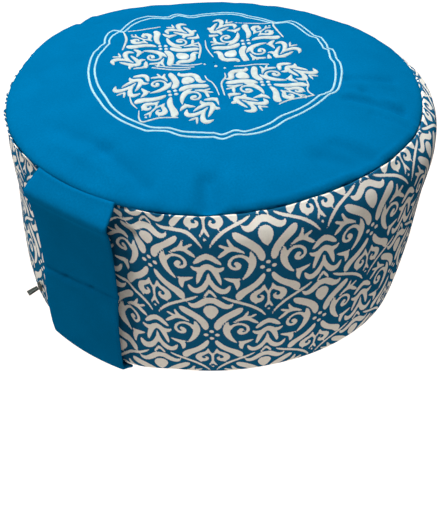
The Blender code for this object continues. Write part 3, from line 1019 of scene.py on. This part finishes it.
def make_band(finish):
    share_fine = np.linspace(0, 1 + TURN_UNDER, PROFILE_STEPS)
    length_fine = way_along(*band_surface(PROFILE_AZIMUTH, share_fine))
    length = np.linspace(0, length_fine[-1], BAND_ROWS)
    azimuth = whole_turn(BAND_COLUMNS)
    turn, share = np.meshgrid(azimuth, np.interp(length, length_fine, share_fine))
    radius, height = band_surface(turn, share)

    down = np.tile(length[:, None], (1, BAND_COLUMNS))
    around = turn * SEAM_RADIUS
    puckers = waves(around, down, BAND_PUCKERS) * np.exp(-down / PUCKER_DEPTH)
    swell = waves(around, down, BAND_SWELL)
    swell = swell * ease(down / SWELL_START) * ease((length[-1] - down) / SWELL_END)
    creases = crease_relief(mm_around(np.degrees(turn)), down / MM, WALL_CREASES)
    radius = radius + MM * (puckers + swell + creases)
    groove = [placed(azimuth, radius[0] + out * MM, height[0] + up * MM) for out, up in GROOVE]
    points = np.concatenate([groove, placed(turn, radius, height)])

    wall_top = SEAM_HEIGHT - SEAM_DROP
    cluster_share = (wall_top - PRINT_HEIGHT) / (wall_top - BAND_FOOT_HEIGHT)
    cluster_down = np.interp(cluster_share, share_fine, length_fine)
    lengths = np.append(GROOVE_MAP, length)
    field = band_print(np.degrees(azimuth), lengths / MM, cluster_down / MM)
    made = add_mesh("printed_band", points, ring_faces(len(points), BAND_COLUMNS), finish, print_mm=field)
    cloth = np.stack(np.meshgrid(azimuth * BAND_MAP_RADIUS, -lengths), -1)
    map_cloth(made, cloth, way_round=2 * math.pi * BAND_MAP_RADIUS)
    return made


# ---- the strap ----

STRAP_ROWS = 150
STRAP_ACROSS = 44
EDGE_STEPS = 6
STRAP_BACK_MAP = 0.2  # m: how far the back's map lies beside the front's
STRAP_HEAD = (
    # height_mm, out_mm: the strap's end goes over and down into the seam
    (157.6, 154.6),
    (159.2, 155.2),
)
STRAP_CREASES = (
    # The soft fold across the strap's middle, as a trough with a ridge under it
    # from_across_mm, from_height_mm, to_across_mm, to_height_mm, half_width_mm, height_mm
    (-36, 78.6, -12, 81.4, 2.4, -1.2),
    (-12, 81.4, 12, 84.0, 2.4, -1.2),
    (12, 84.0, 37, 83.4, 2.4, -1.2),
    (-34, 74.0, -8, 77.0, 4.0, 0.5),
    (-8, 77.0, 14, 79.4, 4.0, 0.5),
    (14, 79.4, 36, 78.8, 4.0, 0.5),
)


def strap_line():
    """Rows of (height, out, half width, edge drop) at the middle of the strap's thickness, evenly spaced."""
    face = np.array(STRAP, float)[:, :4] * MM
    rise, run = headings(face[:, :2]).T
    face[:, 0] -= run * STRAP_THICKNESS / 2
    face[:, 1] += rise * STRAP_THICKNESS / 2
    head = [(height * MM, out * MM, *face[0, 2:]) for height, out in STRAP_HEAD]
    foot = [(height * MM, out * MM, *face[-1, 2:]) for height, out in STRAP_FOOT]
    path = np.vstack([head, face, foot])
    length = way_along(path[:, 0], path[:, 1])
    table = np.column_stack([length, path])
    at = np.linspace(0, length[-1], STRAP_ROWS)
    return np.stack([smooth_curve(table, k, at) for k in range(1, 5)], -1), at


def make_strap(finish):
    path, length = strap_line()
    flat = np.linspace(-1, 1, STRAP_ACROSS)
    turn = np.linspace(0, math.pi, EDGE_STEPS + 2)[1:-1]
    half_thick = STRAP_THICKNESS / 2
    section = [(share, 0.0, 1.0) for share in flat]
    section += [(1.0, math.sin(angle), math.cos(angle)) for angle in turn]
    section += [(share, 0.0, -1.0) for share in flat[::-1]]
    section += [(-1.0, -math.sin(angle), math.cos(angle)) for angle in turn[::-1]]
    across, edge, face = np.array(section).T
    points, mapped = [], []
    for (height, out, half, drop), (rise, run), at in zip(path, headings(path[:, :2]), length):
        x = (half - half_thick) * across + half_thick * edge
        off = half_thick * face
        z = height + run * off
        relief = crease_relief(x / MM, z / MM, STRAP_CREASES) * MM
        y = -(out - drop * (x / STRAP_REACH) ** 2 - rise * off + relief)
        points.append(np.stack([x, y, z], -1))
        mapped.append(np.stack([x + STRAP_BACK_MAP * (off < 0), np.full(x.shape, -at)], -1))
    faces = ring_faces(STRAP_ROWS, len(section))[:, ::-1]
    made = add_mesh("strap_cloth", points, faces, finish)
    map_cloth(made, mapped)
    return made


# ---- the base ----

BASE_COLUMNS = 240
BASE_TURN_ROWS = 16
BASE_START = 1.22  # as a share of the wall's way down: just before the band's end
BASE_RINGS = (0.9, 0.8, 0.7, 0.6, 0.5, 0.4, 0.3, 0.2, 0.1, 0.004)  # of its flat edge's radius


def make_base(finish):
    azimuth = whole_turn(BASE_COLUMNS)
    turn_rows = np.linspace(BASE_START, 2.0, BASE_TURN_ROWS)
    rows = [placed(azimuth, *band_surface(azimuth, share)) for share in turn_rows]
    rows += [rows[-1] * (share, share, 1) for share in BASE_RINGS]
    made = add_mesh("base_cloth", rows, ring_faces(len(rows), BASE_COLUMNS), finish)
    map_cloth(made, np.array(rows)[..., :2])
    return made


# ---- floor, light and camera ----

CAMERA_PLACE = (0.3184, -0.4358, 0.4651)
CAMERA_ROLL = math.radians(-0.11)
CAMERA_PITCH = math.radians(42.02)
FOCAL_PIXELS = 796.2
FRAME_HEIGHT = 529  # pixels
SENSOR = 36.0  # mm
FRAME_SPREAD = 11.5  # degrees: how far the picture's right edge turns out, on the floor
FLOOR_HALF = 6.0
FLOOR_DROP = 0.0002  # under the base, so that no two faces share a place
FLOOR_COLOUR = (0.02, 0.02, 0.02, 1.0)
FLOOR_GLOW = (1.13, 1.05, 1.0, 1.0)
OVERHEAD_PLACE = (-0.28, 0.14, 1.9)  # in the view's axes
OVERHEAD_TARGET = (0.0, 0.0, 0.1)
OVERHEAD_SIZE = 1.5
OVERHEAD_POWER = 76
BACKDROP_LEAST = 0.02


def view_turn(degrees=0.0):
    """The turn from the view's axes to the part's, and on by some degrees anticlockwise."""
    return Matrix.Rotation(VIEW_TURN + math.radians(degrees), 3, "Z")


def to_the_left(degrees=0.0):
    """The direction to the left of the view, level, turned anticlockwise by some degrees."""
    return view_turn(degrees) @ Vector((-1.0, 0.0, 0.0))


def make_floor():
    """A pale floor that glows: a little more to the left, and less towards the picture's right edge."""
    made, tree, shader = new_material("pale_floor", roughness=0.9)
    shader.inputs["Base Color"].default_value = FLOOR_COLOUR
    shader.inputs["Emission Color"].default_value = FLOOR_GLOW
    place = node(tree, "TexCoord").outputs["Object"]
    inward = way_towards(tree, place, to_the_left(-FRAME_SPREAD))
    leftward = way_towards(tree, place, to_the_left())
    falling = ramp(tree, inward, start=-0.33, end=-0.215, low=0.45, high=1.01)
    growing = ramp(tree, leftward, start=-0.2, end=0.5, low=1.0, high=1.12)
    tree.links.new(math_step(tree, "MULTIPLY", falling, growing), shader.inputs["Emission Strength"])
    mesh = bpy.data.meshes.new("floor")
    sides = ((-1, -1), (1, -1), (1, 1), (-1, 1))
    corners = [(x * FLOOR_HALF, y * FLOOR_HALF, -FLOOR_DROP) for x, y in sides]
    mesh.from_pydata(corners, [], [(0, 1, 2, 3)])
    mesh.materials.append(made)
    floor = add_object("floor", mesh)


def make_lights():
    """A soft lamp overhead, and a backdrop that is bright low down and on the left."""
    world = bpy.data.worlds.new("studio")
    world.use_nodes = True
    tree = world.node_tree
    direction = node(tree, "TexCoord").outputs["Generated"]
    height = node(tree, "SeparateXYZ", {0: direction}).outputs["Z"]
    leftward = way_towards(tree, direction, to_the_left())
    low_down = ramp(tree, height, start=0.0, end=0.5, low=1.0, high=0.0)
    on_the_left = ramp(tree, leftward, start=-0.7, end=1.0, low=0.0, high=1.7)
    backdrop = math_step(tree, "MULTIPLY_ADD", low_down, on_the_left, BACKDROP_LEAST)
    tree.links.new(backdrop, tree.nodes["Background"].inputs["Strength"])
    bpy.context.scene.world = world

    data = bpy.data.lights.new("overhead", "AREA")
    data.shape = "DISK"
    data.size = OVERHEAD_SIZE
    data.energy = OVERHEAD_POWER
    lamp = add_object("overhead", data)
    lamp.location = view_turn() @ Vector(OVERHEAD_PLACE)
    aim = Vector(OVERHEAD_TARGET) - lamp.location
    lamp.rotation_euler = aim.to_track_quat("-Z", "Y").to_euler()


def make_camera():
    data = bpy.data.cameras.new("camera")
    data.sensor_fit = "VERTICAL"
    data.sensor_height = SENSOR
    data.lens = FOCAL_PIXELS / FRAME_HEIGHT * SENSOR
    camera = add_object("camera", data)
    forward = Vector((0, math.cos(CAMERA_PITCH), -math.sin(CAMERA_PITCH)))
    right = Vector((1, 0, 0))
    up = right.cross(forward)
    rolled_right = right * math.cos(CAMERA_ROLL) + up * math.sin(CAMERA_ROLL)
    rolled_up = up * math.cos(CAMERA_ROLL) - right * math.sin(CAMERA_ROLL)
    axes = Matrix((rolled_right, rolled_up, -forward)).transposed()
    camera.matrix_world = Matrix.Translation(CAMERA_PLACE) @ (view_turn() @ axes).to_4x4()
    bpy.context.scene.camera = camera


def main():
    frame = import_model()
    bpy.context.scene.view_settings.view_transform = "Standard"
    make_floor()
    make_lights()
    make_camera()

    plain = make_plain_cotton("turquoise_cotton", TURQUOISE, TURQUOISE_WORN)
    printed = make_printed_cotton()
    thread = make_thread("white_thread", THREAD_WHITE)
    pale_thread = make_thread("pale_thread", THREAD_PALE)
    metal = make_zip_metal()

    top = make_top(plain)
    scrolls = make_medallion(thread)
    rings = [
        make_ring("medallion_outer_line", 0.0, pale_thread),
        make_ring("medallion_inner_line", 1.0, pale_thread),
    ]
    band = make_band(printed)
    strap = make_strap(plain)
    base = make_base(plain)
    for piece, cloth in (
        (top, "plain_cloth"),
        (scrolls, "printed_cloth"),
        (rings[0], "printed_cloth"),
        (rings[1], "printed_cloth"),
        (band, "printed_cloth"),
        (strap, "plain_cloth"),
        (base, "plain_cloth"),
    ):
        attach(piece, "root")
    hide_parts("top_panel")
    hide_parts("cushion_body")
    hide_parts("handle_strap")
    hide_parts("base_panel")
    for name in ("zip_slider", "zip_pull"):
        frame["nodes"][name].material_slots[0].material = metal


main()
